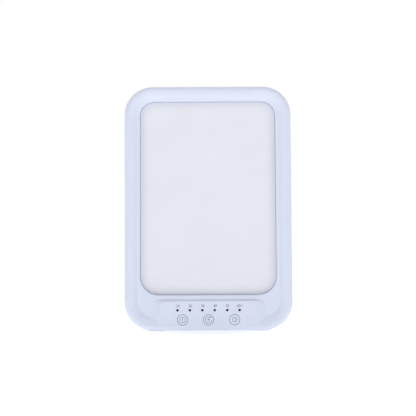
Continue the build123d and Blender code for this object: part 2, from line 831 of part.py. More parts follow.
nodes = {
    "front_bezel": front_bezel(),
    "diffuser_gasket": diffuser_gasket(),
    "diffuser": diffuser(),
    "light_guide": light_guide(),
    "reflector_sheet": reflector_sheet(),
    "led_strip_left": led_strip(-1),
    "led_strip_right": led_strip(1),
    "led_chips_left": led_chips(-1),
    "led_chips_right": led_chips(1),
    "light_tray": light_tray(),
    "tray_screws": screw_group(tray_screw_places, tray_back, screw_tip_depth, *small_screw_sizes),
    "control_board": control_board(),
    "control_board_screws": screw_group(board_screw_places, board_back, screw_tip_depth, *small_screw_sizes),
    "touch_pad_power": touch_pad(0),
    "touch_pad_timer": touch_pad(1),
    "touch_pad_brightness": touch_pad(2),
    "indicator_lens": indicator_lens(),
    "indicator_leds": indicator_leds(),
    "control_chip": control_chip(),
    "driver_inductor": driver_inductor(),
    "driver_capacitor": driver_capacitor(),
    "board_connectors": board_connectors(),
    "jack_leads": jack_leads(),
    "strip_leads": strip_leads(),
    "back_cover": back_cover(),
    "dc_jack": dc_jack(),
    "dc_jack_pin": dc_jack_pin(),
    "dc_jack_nut": dc_jack_nut(),
    "hinge_pin": hinge_pin(),
    "hinge_clip_left": hinge_clip(-1),
    "hinge_clip_right": hinge_clip(1),
    "hinge_washer_left": hinge_washer(-1),
    "hinge_washer_right": hinge_washer(1),
    "stand_leg": stand_leg(),
    "stand_foot_pad": stand_foot_pad(),
    "rubber_foot_left": rubber_foot(-1),
    "rubber_foot_right": rubber_foot(1),
    "case_screws": screw_group(case_screw_places, well_floor, screw_tip_depth, *case_screw_sizes),
}


def leaned(shape):
    """Lean a part back to the working position."""
    return Rot(-lean_angle, 0, 0) * shape


overall = Compound([leaned(shape) for shape in nodes.values()]).bounding_box()
base = Pos(-overall.center().X, -overall.center().Y, -overall.min.Z)

os.makedirs("parts", exist_ok=True)
for name, shape in nodes.items():
    export_step(base * leaned(shape), f"parts/{name}.step")
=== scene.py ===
import json
from math import atan2, cos, pi, radians, sin
import bpy
from mathutils import Matrix, Quaternion, Vector


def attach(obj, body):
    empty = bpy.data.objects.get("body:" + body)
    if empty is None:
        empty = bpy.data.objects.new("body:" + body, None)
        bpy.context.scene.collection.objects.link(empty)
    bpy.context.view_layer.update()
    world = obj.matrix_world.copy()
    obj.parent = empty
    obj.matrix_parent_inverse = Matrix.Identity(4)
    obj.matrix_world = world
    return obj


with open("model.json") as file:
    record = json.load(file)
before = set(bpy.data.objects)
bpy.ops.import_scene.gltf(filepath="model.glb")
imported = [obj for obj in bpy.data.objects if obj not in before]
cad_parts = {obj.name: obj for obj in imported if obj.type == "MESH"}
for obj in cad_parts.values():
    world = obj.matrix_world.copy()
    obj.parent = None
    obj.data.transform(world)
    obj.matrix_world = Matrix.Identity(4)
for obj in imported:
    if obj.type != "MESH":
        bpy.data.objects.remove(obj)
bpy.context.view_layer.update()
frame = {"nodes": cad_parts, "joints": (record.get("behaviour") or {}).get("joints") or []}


# Front frame
# One injection moulding in cool white ABS with a fine satin texture from the spark-eroded
# mould. Its edge is rolled over, its face is dished round the window, and it carries the
# light pack, the control board and the screws of the rear half.

mm = 0.001
lean = radians(20)
hinge_in_lamp = Vector((0, 19.8, 172)) * mm
hinge_in_room = Vector(frame["joints"][0]["pos_m"])
to_room = (Matrix.Translation(hinge_in_room) @ Matrix.Rotation(-lean, 4, "X")
           @ Matrix.Translation(-hinge_in_lamp))
to_lamp = to_room.inverted()
# Dust and painted shade: a darker band at the seam between the case halves.
seam_depth = 11.2 * mm
seam_dust_and_shade_edges = (0.35 * mm, 0.1 * mm)
seam_dust_and_shade_share = 0.35
tone_limits = (0.3, 0.7)


def colour(red, green, blue):
    """A colour as a shader takes it, from its 0 to 255 screen values."""
    values = [v / 255 for v in (red, green, blue)]
    return tuple(v / 12.92 if v <= 0.04045 else ((v + 0.055) / 1.055) ** 2.4 for v in values)


def effect_group(name, inputs, outputs):
    """An empty shader group with its named inputs and outputs."""
    group = bpy.data.node_groups.new(name, "ShaderNodeTree")
    for label, kind in inputs:
        group.interface.new_socket(label, in_out="INPUT", socket_type="NodeSocket" + kind)
    for label, kind in outputs:
        group.interface.new_socket(label, in_out="OUTPUT", socket_type="NodeSocket" + kind)
    entry = group.nodes.new("NodeGroupInput")
    exit_node = group.nodes.new("NodeGroupOutput")
    return group, entry.outputs, exit_node.inputs


def feed(tree, socket, value):
    """Join a value, a colour or another node's output to a socket."""
    if isinstance(value, bpy.types.NodeSocket):
        tree.links.new(value, socket)
    elif isinstance(value, tuple) and len(value) == 3 and socket.type == "RGBA":
        socket.default_value = (*value, 1)
    else:
        socket.default_value = value


def calc(tree, operation, first, second=0.0, third=0.0):
    """One step of arithmetic on values that vary over the surface."""
    node = tree.nodes.new("ShaderNodeMath")
    node.operation = operation
    for socket, value in zip(node.inputs, (first, second, third)):
        feed(tree, socket, value)
    return node.outputs[0]


def fade(tree, value, start, end, low=0.0, high=1.0):
    """A value read between two limits and turned into a smooth share."""
    node = tree.nodes.new("ShaderNodeMapRange")
    node.interpolation_type = "SMOOTHSTEP"
    for label, number in (("Value", value), ("From Min", start), ("From Max", end)):
        feed(tree, node.inputs[label], number)
    for label, number in (("To Min", low), ("To Max", high)):
        feed(tree, node.inputs[label], number)
    return node.outputs["Result"]


def blended(tree, share, first, second):
    """Two colours mixed by a share that varies over the surface."""
    node = tree.nodes.new("ShaderNodeMix")
    node.data_type = "RGBA"
    feed(tree, node.inputs["Factor"], share)
    feed(tree, node.inputs[6], first)
    feed(tree, node.inputs[7], second)
    return node.outputs[2]


def noise(tree, place, scale, detail=2.0, roughness=0.5):
    """Cloudy variation at a scale given in features to the metre."""
    node = tree.nodes.new("ShaderNodeTexNoise")
    feed(tree, node.inputs["Vector"], place)
    feed(tree, node.inputs["Scale"], scale)
    node.inputs["Detail"].default_value = detail
    node.inputs["Roughness"].default_value = roughness
    return node.outputs["Fac"]


def cells(tree, place, scale, feature="F1", spread=1.0):
    """Distance inside a field of cells, for pits, dots and tracks."""
    node = tree.nodes.new("ShaderNodeTexVoronoi")
    node.feature = feature
    feed(tree, node.inputs["Vector"], place)
    feed(tree, node.inputs["Scale"], scale)
    node.inputs["Randomness"].default_value = spread
    return node.outputs["Distance"]


def lamp_place(tree):
    """Coordinates of the upright lamp, so that a pattern runs along its edges."""
    source = tree.nodes.new("ShaderNodeTexCoord")
    turn = tree.nodes.new("ShaderNodeMapping")
    turn.inputs["Location"].default_value = to_lamp.translation
    turn.inputs["Rotation"].default_value = (lean, 0, 0)
    tree.links.new(source.outputs["Object"], turn.inputs["Vector"])
    return turn.outputs["Vector"]


def along(tree, place):
    """The three parts of a place: across, depth and height."""
    split = tree.nodes.new("ShaderNodeSeparateXYZ")
    feed(tree, split.inputs[0], place)
    return split.outputs


def stretched(tree, place, factors):
    """A place scaled differently along each direction, for drawn or rolled grain."""
    node = tree.nodes.new("ShaderNodeMapping")
    feed(tree, node.inputs["Vector"], place)
    node.inputs["Scale"].default_value = factors
    return node.outputs["Vector"]


def new_finish(name, roughness):
    """A material with its tree, its shader and the lamp's coordinates."""
    material = bpy.data.materials.new(name)
    material.use_nodes = True
    tree = material.node_tree
    shader = tree.nodes["Principled BSDF"]
    shader.inputs["Roughness"].default_value = roughness
    return material, tree, shader, lamp_place(tree)


def relief(tree, shader, height, strength, depth):
    """Fine relief under the light, from a height that varies over the surface."""
    bump = tree.nodes.new("ShaderNodeBump")
    bump.inputs["Strength"].default_value = strength
    bump.inputs["Distance"].default_value = depth
    feed(tree, bump.inputs["Height"], height)
    feed(tree, shader.inputs["Normal"], bump.outputs["Normal"])


def put_on(nodes, material):
    """Give a finish to carried-over parts."""
    for node in nodes:
        frame["nodes"][node].data.materials.clear()
        frame["nodes"][node].data.materials.append(material)


def moulded_grain():
    """Texture of a moulded part: fine pits from the mould and a slow drift of tone."""
    inputs = (("Place", "Vector"), ("Grain", "Float"), ("Clouds", "Float"))
    outputs = (("Tone", "Float"), ("Height", "Float"))
    group, entry, result = effect_group("moulded_grain", inputs, outputs)
    pits = cells(group, entry["Place"], entry["Grain"], feature="SMOOTH_F1")
    finer = calc(group, "MULTIPLY", entry["Grain"], 1.7)
    fine = noise(group, entry["Place"], finer, detail=3.0, roughness=0.6)
    feed(group, result["Height"], calc(group, "ADD", calc(group, "MULTIPLY", pits, 0.6), fine))
    clouds = noise(group, entry["Place"], entry["Clouds"], detail=3.0, roughness=0.55)
    feed(group, result["Tone"], clouds)
    return group


def use_group(tree, group, **values):
    """Place an effect group in a material and set its inputs."""
    node = tree.nodes.new("ShaderNodeGroup")
    node.node_tree = group
    for label, value in values.items():
        feed(tree, node.inputs[label], value)
    return node.outputs


grain_group = moulded_grain()


def satin_plastic(name, light, dark, roughness, grain, depth, seam=False):
    """Moulded plastic: texture from the mould, a slow drift of tone, dust and painted shade in the
    case seam.
    """
    material, tree, shader, place = new_finish(name, roughness)
    texture = use_group(tree, grain_group, Place=place, Grain=grain, Clouds=45.0)
    tone = blended(tree, fade(tree, texture["Tone"], *tone_limits), dark, light)
    if seam:
        # A darker band at the seam plane: dust in the seam and painted shade.
        away = calc(tree, "ABSOLUTE", calc(tree, "SUBTRACT", along(tree, place)[1], seam_depth))
        dust = calc(tree, "MULTIPLY", fade(tree, away, *seam_dust_and_shade_edges), seam_dust_and_shade_share)
        tone = blended(tree, dust, tone, seam_dust_and_shade)
    feed(tree, shader.inputs["Base Color"], tone)
    polish = fade(tree, texture["Tone"], 0.25, 0.75, low=roughness - 0.04, high=roughness + 0.04)
    feed(tree, shader.inputs["Roughness"], polish)
    relief(tree, shader, texture["Height"], strength=0.35, depth=depth)
    return material


case_light = colour(222, 229, 247)
case_dark = colour(220, 227, 245)
# Colour of the dust and painted shade in the seam.
seam_dust_and_shade = colour(150, 152, 160)
case_front = satin_plastic("case_front", case_light, case_dark,
                           roughness=0.42, grain=2600.0, depth=0.02 * mm, seam=True)
put_on(["front_bezel"], case_front)


# Printed keys, signs and minutes
# The touch keys are pad-printed on the unbroken face of the chin: a ring for each key with
# its sign inside, and the minutes above the six indicators, in grey. A fine black ring round
# each indicator keeps its light from glowing through the white wall.

ink_thickness = 0.03 * mm
ink_sink = 0.005 * mm
key_pitch = 25.4 * mm
key_height = 10.3 * mm
ring_radius = 5.1 * mm
ring_line = 0.52 * mm
sign_line = 0.48 * mm
stroke_corner = 0.3
indicator_pitch = 12.15 * mm
indicator_height = 19.6 * mm
indicator_radius = 1.1 * mm
mask_line = 0.15 * mm
minutes_marks = ("10", "20", "30", "40", "50", "60+")
minutes_height = 23.7 * mm
minutes_size = 3.6 * mm
minutes_weight = 0.03 * mm
minutes_shift = 0.35 * mm


def print_ink(name, light, dark):
    """Matte pad-printing ink, a little uneven in tone and height over the grain."""
    material, tree, shader, place = new_finish(name, 0.5)
    cover = noise(tree, place, 2500.0, detail=3.0)
    tone = blended(tree, fade(tree, cover, 0.35, 0.65), light, dark)
    feed(tree, shader.inputs["Base Color"], tone)
    relief(tree, shader, cover, strength=0.2, depth=0.01 * mm)
    return material


grey_ink = print_ink("key_print", colour(112, 130, 154), colour(98, 116, 140))
black_ink = print_ink("mask_print", colour(18, 19, 24), colour(10, 11, 15))


def start_piece():
    """Clear the selection before a new piece is begun."""
    if bpy.context.object and bpy.context.object.mode != "OBJECT":
        bpy.ops.object.mode_set(mode="OBJECT")
    bpy.ops.object.select_all(action="DESELECT")


def pick_faces(piece, wanted):
    """Select the faces of a piece whose centre passes a test, in edit mode."""
    bpy.ops.object.mode_set(mode="EDIT")
    bpy.ops.mesh.select_mode(type="FACE")
    bpy.ops.mesh.select_all(action="DESELECT")
    bpy.ops.object.mode_set(mode="OBJECT")
    for face in piece.data.polygons:
        face.select = wanted(face.center)
    bpy.ops.object.mode_set(mode="EDIT")


def ink_ring(radius, line, gap_middle=0.0, gap_half=0.0, sides=72):
    """A flat printed ring, left open round one direction where its sign asks for it."""
    start_piece()
    bpy.ops.mesh.primitive_circle_add(vertices=sides, radius=radius + line / 2, fill_type="NGON")
    ring = bpy.context.object
    bpy.ops.object.mode_set(mode="EDIT")
    bpy.ops.mesh.select_all(action="SELECT")
    bpy.ops.mesh.inset(thickness=line)
    bpy.ops.mesh.delete(type="FACE")
    if gap_half:
        def in_gap(centre):
            turn = (atan2(centre.y, centre.x) - gap_middle + pi) % (2 * pi) - pi
            return abs(turn) < gap_half
        pick_faces(ring, in_gap)
        bpy.ops.mesh.delete(type="FACE")
    bpy.ops.object.mode_set(mode="OBJECT")
    return ring


def ink_bar(start, end, line):
    """A flat printed stroke with cut corners between two points."""
    start_piece()
    run = Vector(end) - Vector(start)
    middle = (Vector(end) + Vector(start)) / 2
    bpy.ops.mesh.primitive_plane_add(size=1, location=(middle.x, middle.y, 0))
    bar = bpy.context.object
    bpy.ops.object.mode_set(mode="EDIT")
    bpy.ops.mesh.select_all(action="SELECT")
    bpy.ops.transform.resize(value=(run.length + line, line, 1))
    bpy.ops.mesh.bevel(offset=line * stroke_corner, segments=2, affect="VERTICES")
    bpy.ops.object.mode_set(mode="OBJECT")
    bar.rotation_euler.z = atan2(run.y, run.x)
    bpy.ops.object.transform_apply(location=True, rotation=True, scale=True)
    return bar


def joined(pieces, name):
    """Several strokes made one piece."""
    start_piece()
    for piece in pieces:
        piece.select_set(True)
    bpy.context.view_layer.objects.active = pieces[0]
    if len(pieces) > 1:
        bpy.ops.object.join()
    pieces[0].name = name
    pieces[0].data.name = name
    return pieces[0]


def print_on_face(piece, across, height, ink):
    """Give a flat piece the thickness of ink and lay it on the front of the chin."""
    start_piece()
    piece.select_set(True)
    bpy.context.view_layer.objects.active = piece
    film = piece.modifiers.new("film", "SOLIDIFY")
    film.thickness = ink_thickness
    film.offset = 1.0
    bpy.ops.object.modifier_apply(modifier=film.name)
    place = Matrix.Translation((across, ink_sink, height)) @ Matrix.Rotation(pi / 2, 4, "X")
    piece.matrix_world = to_room @ place
    bpy.ops.object.transform_apply(location=True, rotation=True, scale=True)
    piece.data.materials.clear()
    piece.data.materials.append(ink)
    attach(piece, "case")


def power_sign():
    """A ring open at the top with a stroke through the opening."""
    radius = 2.75 * mm
    gap_half = radians(22)
    stroke_foot = -0.6 * mm
    stroke_head = 2.9 * mm
    ring = ink_ring(radius, sign_line, pi / 2, gap_half)
    stroke = ink_bar((0, stroke_foot), (0, stroke_head), sign_line)
    return [ring, stroke]


def timer_sign():
    """A clock face: an open ring that ends in an arrow, with two hands that cross."""
    radius = 3.0 * mm
    gap_middle = radians(18)
    gap_half = radians(20)
    barb_reach = 1.1 * mm
    barb_lean = 0.1 * mm
    long_hand_ends = (-0.6 * mm, 1.8 * mm)
    short_hand_ends = (-1.0 * mm, 1.2 * mm)
    ring = ink_ring(radius, sign_line, gap_middle, gap_half)
    ring_end = gap_middle + gap_half
    tip = Vector((cos(ring_end), sin(ring_end))) * radius
    barbs = [(tip.x + barb_lean, tip.y + barb_reach), (tip.x - barb_reach, tip.y + barb_lean)]
    arrow = [ink_bar(barb, tip, sign_line) for barb in barbs]
    long_hand = ink_bar((0, long_hand_ends[0]), (0, long_hand_ends[1]), sign_line)
    short_hand = ink_bar((short_hand_ends[0], 0), (short_hand_ends[1], 0), sign_line)
    return [ring] + arrow + [long_hand, short_hand]


def brightness_sign():
    """A small sun: a ring with eight short rays."""
    sun_radius = 1.8 * mm
    ray_start = 2.6 * mm
    ray_end = 2.85 * mm
    ray_count = 8
    strokes = [ink_ring(sun_radius, sign_line)]
    for number in range(ray_count):
        turn = number * 2 * pi / ray_count
        way = Vector((cos(turn), sin(turn)))
        strokes.append(ink_bar(way * ray_start, way * ray_end, sign_line))
    return strokes


signs = {"power": power_sign, "timer": timer_sign, "brightness": brightness_sign}
middle_key = (len(signs) - 1) / 2
for place, (name, draw_sign) in enumerate(signs.items()):
    sign = joined([ink_ring(ring_radius, ring_line)] + draw_sign(), "key_print_" + name)
    print_on_face(sign, (place - middle_key) * key_pitch, key_height, grey_ink)

middle_mark = (len(minutes_marks) - 1) / 2
for place, minutes in enumerate(minutes_marks):
    across = (place - middle_mark) * indicator_pitch
    label = minutes.replace("+", "_plus")
    start_piece()
    bpy.ops.object.text_add()
    figure = bpy.context.object
    figure.data.body = minutes
    figure.data.size = minutes_size
    figure.data.offset = minutes_weight
    figure.data.align_x = "CENTER"
    figure.data.align_y = "CENTER"
    figure.data.resolution_u = 4
    bpy.ops.object.convert(target="MESH")
    figure = joined([bpy.context.object], "minutes_print_" + label)
    print_on_face(figure, across + minutes_shift, minutes_height, grey_ink)
    mask = ink_ring(indicator_radius + mask_line / 2, mask_line, sides=32)
    mask = joined([mask], "mask_print_" + label)
    print_on_face(mask, across, indicator_height, black_ink)


# Indicator lens
# One strip of dark smoked polycarbonate with six polished pins that stand in the holes of
# the chin and bring the light of the board lamps to the face.

lens_flow = (1.0, 1.0, 0.2)


def smoked_lens():
    """Dark tinted polycarbonate, polished, with faint flow marks."""
    material, tree, shader, place = new_finish("smoked_lens", 0.16)
    shader.inputs["Specular IOR Level"].default_value = 0.08
    flow = noise(tree, stretched(tree, place, lens_flow), 900.0, detail=2.0)
    tone = blended(tree, flow, colour(5, 6, 10), colour(10, 11, 16))
    feed(tree, shader.inputs["Base Color"], tone)
    feed(tree, shader.inputs["Roughness"], fade(tree, flow, *tone_limits, low=0.2, high=0.3))
    relief(tree, shader, flow, strength=0.1, depth=0.01 * mm)
    return material


put_on(["indicator_lens"], smoked_lens())


# Foam ring
# Closed-cell grey foam, die-cut and stuck to the frame behind the window lip, so that the
# panel neither rattles nor lets light past.

def foam(name, light, dark, cell):
    """Soft foam whose cells are cut open at the surface."""
    material, tree, shader, place = new_finish(name, 0.9)
    pores = cells(tree, place, cell)
    tone = blended(tree, fade(tree, pores, 0.1, 0.6), dark, light)
    feed(tree, shader.inputs["Base Color"], tone)
    relief(tree, shader, pores, strength=0.8, depth=0.1 * mm)
    return material


frame_foam = foam("foam", colour(144, 152, 162), colour(120, 128, 138), cell=2600.0)
put_on(["diffuser_gasket"], frame_foam)


# Opal panel
# Opal acrylic, laser-cut with broken edges, satin on the outside. It spreads the light of the
# guide behind it and shows a soft, slightly warmer white than the case.

window_middle = 130.45 * mm
window_half = (67.0 * mm, 95.85 * mm)
window_corner = 16.5 * mm
# Painted shade: the panel's colour darkens towards the window edge, in place of the shade cast by
# the frame's lip.
painted_shade_width = 14.0 * mm
painted_shade_share = 0.3
painted_rim_shade = colour(176, 182, 200)


def window_rim():
    """Distance inward from the edge of the window, a rectangle with round corners."""
    inputs = (("Place", "Vector"),)
    outputs = (("Inward", "Float"),)
    group, entry, result = effect_group("window_rim", inputs, outputs)
    across, _, height = along(group, entry["Place"])
    sides = ((across, 0.0, window_half[0]), (height, window_middle, window_half[1]))
    past = []
    for way, middle, half in sides:
        away = calc(group, "ABSOLUTE", calc(group, "SUBTRACT", way, middle))
        past.append(calc(group, "SUBTRACT", away, half - window_corner))
    outer = [calc(group, "POWER", calc(group, "MAXIMUM", value, 0.0), 2.0) for value in past]
    reach = calc(group, "SQRT", calc(group, "ADD", *outer))
    inner = calc(group, "MINIMUM", calc(group, "MAXIMUM", *past), 0.0)
    outward = calc(group, "ADD", reach, inner)
    feed(group, result["Inward"], calc(group, "SUBTRACT", window_corner, outward))
    return group


rim_group = window_rim()


def opal_acrylic():
    """Satin opal acrylic, a little darker along its rim: painted shade, where the frame takes the
    light.
    """
    material, tree, shader, place = new_finish("opal_panel", 0.34)
    texture = use_group(tree, grain_group, Place=place, Grain=1400.0, Clouds=20.0)
    clouds = fade(tree, texture["Tone"], *tone_limits)
    tone = blended(tree, clouds, colour(232, 233, 242), colour(234, 235, 245))
    inward = use_group(tree, rim_group, Place=place)["Inward"]
    # Painted shade along the window edge of the panel.
    rim = calc(tree, "POWER", fade(tree, inward, painted_shade_width, 0.0), 2.0)
    tone = blended(tree, calc(tree, "MULTIPLY", rim, painted_shade_share), tone, painted_rim_shade)
    feed(tree, shader.inputs["Base Color"], tone)
    polish = fade(tree, texture["Tone"], *tone_limits, low=0.31, high=0.37)
    feed(tree, shader.inputs["Roughness"], polish)
    shader.inputs["Subsurface Weight"].default_value = 0.12
    shader.inputs["Subsurface Radius"].default_value = (1.0, 1.0, 1.0)
    shader.inputs["Subsurface Scale"].default_value = 0.8 * mm
    relief(tree, shader, texture["Height"], strength=0.15, depth=0.01 * mm)
    return material


put_on(["diffuser"], opal_acrylic())


# Light guide
# Clear cast acrylic with polished edges. A field of small printed dots on its back sends the
# light that runs through it out to the front.

guide_dot_pitch = 1.6 * mm
guide_dot_edges = (0.34, 0.28)


def dotted_acrylic():
    """Clear acrylic with a field of white dots, their edges given as shares of the pitch."""
    material, tree, shader, place = new_finish("clear_acrylic", 0.06)
    dots = fade(tree, cells(tree, place, 1 / guide_dot_pitch, spread=0.0), *guide_dot_edges)
    tone = blended(tree, dots, colour(246, 250, 252), colour(238, 238, 236))
    feed(tree, shader.inputs["Base Color"], tone)
    feed(tree, shader.inputs["Roughness"], fade(tree, dots, 0.0, 1.0, low=0.04, high=0.5))
    shader.inputs["Transmission Weight"].default_value = 0.9
    shader.inputs["IOR"].default_value = 1.49
    return material


put_on(["light_guide"], dotted_acrylic())


# Reflector sheet
# White micro-foamed polyester film, laid loose behind the guide.

def white_film():
    """Matte white film with fine voids."""
    material, tree, shader, place = new_finish("white_film", 0.6)
    voids = noise(tree, place, 3500.0, detail=4.0, roughness=0.7)
    tone = blended(tree, voids, colour(243, 243, 241), colour(250, 250, 249))
    feed(tree, shader.inputs["Base Color"], tone)
    relief(tree, shader, voids, strength=0.25, depth=0.01 * mm)
    return material


put_on(["reflector_sheet"], white_film())


# Light strips
# White-masked aluminium circuit strips along both long sides of the guide. Each carries 22
# chips: a white package with a yellow window that faces the edge of the guide.

strip_bottom = 53.6 * mm
strip_top = 207.3 * mm
chip_count = 22
chip_pitch = (strip_top - strip_bottom) / chip_count
chip_middle_depth = 9.2 * mm
chip_window_half = (1.25 * mm, 0.8 * mm)
pad_start = 1.6 * mm
pad_end = 2.6 * mm
pad_half_width = 0.6 * mm
print_edge = 0.1 * mm
track_away = 1.0 * mm
track_edges = (0.2 * mm, 0.12 * mm)


def chip_steps(tree, place):
    """Distance along a strip from the nearest chip centre."""
    height = calc(tree, "SUBTRACT", along(tree, place)[2], strip_bottom)
    share = calc(tree, "FRACT", calc(tree, "DIVIDE", height, chip_pitch))
    away = calc(tree, "ABSOLUTE", calc(tree, "SUBTRACT", share, 0.5))
    return calc(tree, "MULTIPLY", away, chip_pitch)


def chip_side(tree, place):
    """Distance across a strip from the line of its chips."""
    return calc(tree, "ABSOLUTE", calc(tree, "SUBTRACT", along(tree, place)[1], chip_middle_depth))


def strip_mask():
    """White solder mask with tinned pads between the chips and one feed track."""
    material, tree, shader, place = new_finish("circuit_white", 0.4)
    near = chip_steps(tree, place)
    side = chip_side(tree, place)
    past_start = fade(tree, near, pad_start, pad_start + print_edge)
    before_end = fade(tree, near, pad_end, pad_end - print_edge)
    within = fade(tree, side, pad_half_width, pad_half_width - print_edge)
    pads = calc(tree, "MULTIPLY", calc(tree, "MULTIPLY", past_start, before_end), within)
    from_track = calc(tree, "ABSOLUTE", calc(tree, "SUBTRACT", side, track_away))
    track = fade(tree, from_track, *track_edges)
    faint = calc(tree, "MULTIPLY", track, 0.4)
    base = blended(tree, faint, colour(238, 238, 234), colour(205, 208, 206))
    feed(tree, shader.inputs["Base Color"], blended(tree, pads, base, colour(196, 198, 200)))
    feed(tree, shader.inputs["Metallic"], calc(tree, "MULTIPLY", pads, 0.9))
    relief(tree, shader, calc(tree, "ADD", pads, track), strength=0.4, depth=0.04 * mm)
    return material


def chip_windows():
    """White packages with a yellow phosphor window in each."""
    material, tree, shader, place = new_finish("led_chip", 0.3)
    half_length, half_width = chip_window_half
    within_length = fade(tree, chip_steps(tree, place), half_length, half_length - print_edge)
    within_width = fade(tree, chip_side(tree, place), half_width, half_width - print_edge)
    window = calc(tree, "MULTIPLY", within_length, within_width)
    grain = noise(tree, place, 9000.0, detail=2.0)
    phosphor = blended(tree, grain, colour(232, 206, 96), colour(246, 224, 128))
    feed(tree, shader.inputs["Base Color"], blended(tree, window, colour(240, 240, 236), phosphor))
    feed(tree, shader.inputs["Roughness"], fade(tree, window, 0.0, 1.0, low=0.4, high=0.2))
    relief(tree, shader, window, strength=0.5, depth=-0.05 * mm)
    return material


put_on(["led_strip_left", "led_strip_right"], strip_mask())
led_finish = chip_windows()
put_on(["led_chips_left", "led_chips_right", "indicator_leds"], led_finish)


# Light tray
# Pressed 1 mm aluminium with two stiffening beads. It holds the light pack flat against the
# frame and carries the heat of the strips, fixed by four zinc-plated screws.

def drawn_metal():
    """Grain of rolled or turned metal: long fine lines and a slow drift of tone."""
    inputs = (("Place", "Vector"), ("Lines", "Float"))
    outputs = (("Tone", "Float"), ("Height", "Float"))
    group, entry, result = effect_group("drawn_metal", inputs, outputs)
    lines = noise(group, entry["Place"], entry["Lines"], detail=4.0, roughness=0.65)
    coarser = calc(group, "MULTIPLY", entry["Lines"], 0.12)
    drift = noise(group, entry["Place"], coarser, detail=2.0)
    feed(group, result["Height"], lines)
    half_lines = calc(group, "MULTIPLY", lines, 0.5)
    half_drift = calc(group, "MULTIPLY", drift, 0.5)
    feed(group, result["Tone"], calc(group, "ADD", half_lines, half_drift))
    return group


metal_group = drawn_metal()
grain_upright = (1.0, 1.0, 0.04)
grain_inward = (1.0, 0.05, 1.0)
grain_across = (0.05, 1.0, 1.0)
grain_even = (1.0, 1.0, 1.0)


def bare_metal(name, light, dark, roughness, lines, run):
    """Metal with its drawn grain along one direction."""
    material, tree, shader, place = new_finish(name, roughness)
    texture = use_group(tree, metal_group, Place=stretched(tree, place, run), Lines=lines)
    tone = blended(tree, fade(tree, texture["Tone"], *tone_limits), dark, light)
    feed(tree, shader.inputs["Base Color"], tone)
    polish = fade(tree, texture["Tone"], *tone_limits, low=roughness - 0.06, high=roughness + 0.06)
    feed(tree, shader.inputs["Roughness"], polish)
    shader.inputs["Metallic"].default_value = 1.0
    relief(tree, shader, texture["Height"], strength=0.3, depth=0.02 * mm)
    return material


aluminium = bare_metal("pressed_aluminium", colour(222, 223, 225), colour(205, 206, 209),
                       roughness=0.36, lines=1500.0, run=grain_upright)
put_on(["light_tray"], aluminium)
zinc = bare_metal("zinc_screw", colour(206, 208, 206), colour(178, 182, 186),
                  roughness=0.3, lines=4000.0, run=grain_even)
put_on(["tray_screws", "control_board_screws"], zinc)


# Control board and its parts
# Green fibreglass board screwed behind the chin. It carries the touch pillars, six small
# lamps, the controller, the lamp driver's coil and capacitor, and two lead sockets.

board_tracks_to_metre = 330.0
board_pads_to_metre = 420.0
board_weave = (1.0, 1.0, 0.3)
package_lead_edges = (9.55 * mm, 9.45 * mm)
can_mark_across = (25.6 * mm, 25.8 * mm)
can_mark_depth = (14.3 * mm, 14.35 * mm)
can_base_depth = (9.95 * mm, 9.88 * mm)


def board_mask():
    """Green solder mask over copper tracks, with tinned pads and glass weave under it."""
    material, tree, shader, place = new_finish("circuit_green", 0.32)
    from_track = cells(tree, place, board_tracks_to_metre, feature="DISTANCE_TO_EDGE", spread=0.55)
    tracks = fade(tree, from_track, 0.1, 0.06)
    pads = fade(tree, cells(tree, place, board_pads_to_metre, spread=0.7), 0.16, 0.12)
    weave = noise(tree, stretched(tree, place, board_weave), 3000.0, detail=2.0)
    base = blended(tree, weave, colour(14, 84, 52), colour(20, 98, 60))
    base = blended(tree, tracks, base, colour(38, 132, 84))
    feed(tree, shader.inputs["Base Color"], blended(tree, pads, base, colour(200, 200, 196)))
    feed(tree, shader.inputs["Metallic"], calc(tree, "MULTIPLY", pads, 0.9))
    relief(tree, shader, calc(tree, "ADD", tracks, pads), strength=0.4, depth=0.04 * mm)
    return material


def black_epoxy():
    """Moulded epoxy package with bright tinned leads near the board."""
    material, tree, shader, place = new_finish("black_package", 0.5)
    grain = noise(tree, place, 6000.0, detail=3.0)
    leads = fade(tree, along(tree, place)[1], *package_lead_edges)
    body = blended(tree, grain, colour(34, 34, 36), colour(44, 44, 46))
    feed(tree, shader.inputs["Base Color"], blended(tree, leads, body, colour(198, 200, 202)))
    feed(tree, shader.inputs["Metallic"], leads)
    relief(tree, shader, grain, strength=0.3, depth=0.02 * mm)
    return material


def capacitor_can():
    """Drawn aluminium can on a black base, with a dark mark at its negative side."""
    material, tree, shader, place = new_finish("capacitor_can", 0.28)
    across, depth, _ = along(tree, place)
    drawn = stretched(tree, place, grain_inward)
    texture = use_group(tree, metal_group, Place=drawn, Lines=3500.0)
    can = blended(tree, texture["Tone"], colour(196, 198, 202), colour(224, 226, 228))
    at_side = fade(tree, across, *can_mark_across)
    at_top = fade(tree, depth, *can_mark_depth)
    mark = calc(tree, "MULTIPLY", at_side, at_top)
    base = fade(tree, depth, *can_base_depth)
    dark = calc(tree, "MAXIMUM", mark, base)
    feed(tree, shader.inputs["Base Color"], blended(tree, dark, can, colour(30, 30, 33)))
    feed(tree, shader.inputs["Metallic"], calc(tree, "SUBTRACT", 1.0, dark))
    relief(tree, shader, texture["Height"], strength=0.2, depth=0.02 * mm)
    return material


put_on(["control_board"], board_mask())
pillars = foam("conductive_foam", colour(96, 96, 98), colour(52, 52, 55), cell=3200.0)
put_on(["touch_pad_power", "touch_pad_timer", "touch_pad_brightness"], pillars)
put_on(["control_chip"], black_epoxy())
ferrite = satin_plastic("ferrite", colour(82, 82, 85), colour(62, 62, 66),
                        roughness=0.55, grain=5200.0, depth=0.04 * mm)
put_on(["driver_inductor"], ferrite)
put_on(["driver_capacitor"], capacitor_can())
nylon = satin_plastic("socket_nylon", colour(238, 236, 226), colour(230, 227, 214),
                      roughness=0.38, grain=3600.0, depth=0.01 * mm)
put_on(["board_connectors"], nylon)


